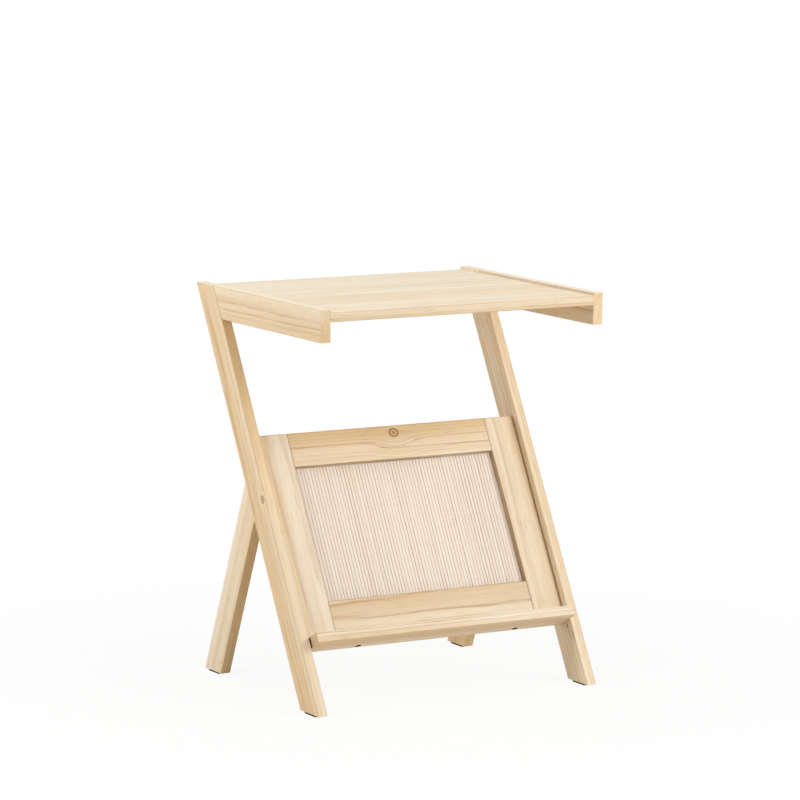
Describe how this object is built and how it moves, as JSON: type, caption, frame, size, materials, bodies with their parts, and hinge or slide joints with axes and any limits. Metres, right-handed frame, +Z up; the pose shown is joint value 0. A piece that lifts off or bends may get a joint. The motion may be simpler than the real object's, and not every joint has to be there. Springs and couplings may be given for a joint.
{
  "type": "magazine table with rack",
  "caption": "Low wooden side table on Z-shaped side frames, with a leaning reeded rack and a ledge between the front legs for standing magazines.",
  "frame": {"origin": "on the floor, at the middle of the table's footprint", "axes": "+Z up, -Y towards the front where the rack and its ledge face, +X to the right seen from the front"},
  "size_m": [0.45, 0.36, 0.56],
  "materials": {
    "pale_pine": "clear matt lacquer",
    "reed_wood": "unvarnished, fine half-round reeds",
    "backing_ply": "thin sanded plywood",
    "dowel_beech": "bare turned beech",
    "black_pad": "matt black pad",
    "zinc_steel": "zinc plated"
  },
  "bodies": {
    "root": {"ledge_screws": "zinc_steel", "left_front_foot_pad": "black_pad", "left_front_leg": "pale_pine", "left_rear_foot_pad": "black_pad", "left_rear_leg": "pale_pine", "left_top_rail": "pale_pine", "magazine_ledge": "pale_pine", "rack_bottom_rail": "pale_pine", "rack_cam_bolts": "zinc_steel", "rack_cam_locks": "zinc_steel", "rack_frame_dowels": "dowel_beech", "rack_left_stile": "pale_pine", "rack_leg_dowels": "dowel_beech", "rack_right_stile": "pale_pine", "rack_top_rail": "pale_pine", "rear_leg_screws": "zinc_steel", "reed_backing": "backing_ply", "reed_strips": "reed_wood", "right_front_foot_pad": "black_pad", "right_front_leg": "pale_pine", "right_rear_foot_pad": "black_pad", "right_rear_leg": "pale_pine", "right_top_rail": "pale_pine", "table_top": "pale_pine", "table_top_cam_bolts": "zinc_steel", "table_top_cam_locks": "zinc_steel", "table_top_dowels": "dowel_beech", "top_rail_dowels": "dowel_beech"}
  },
  "joints": []
}
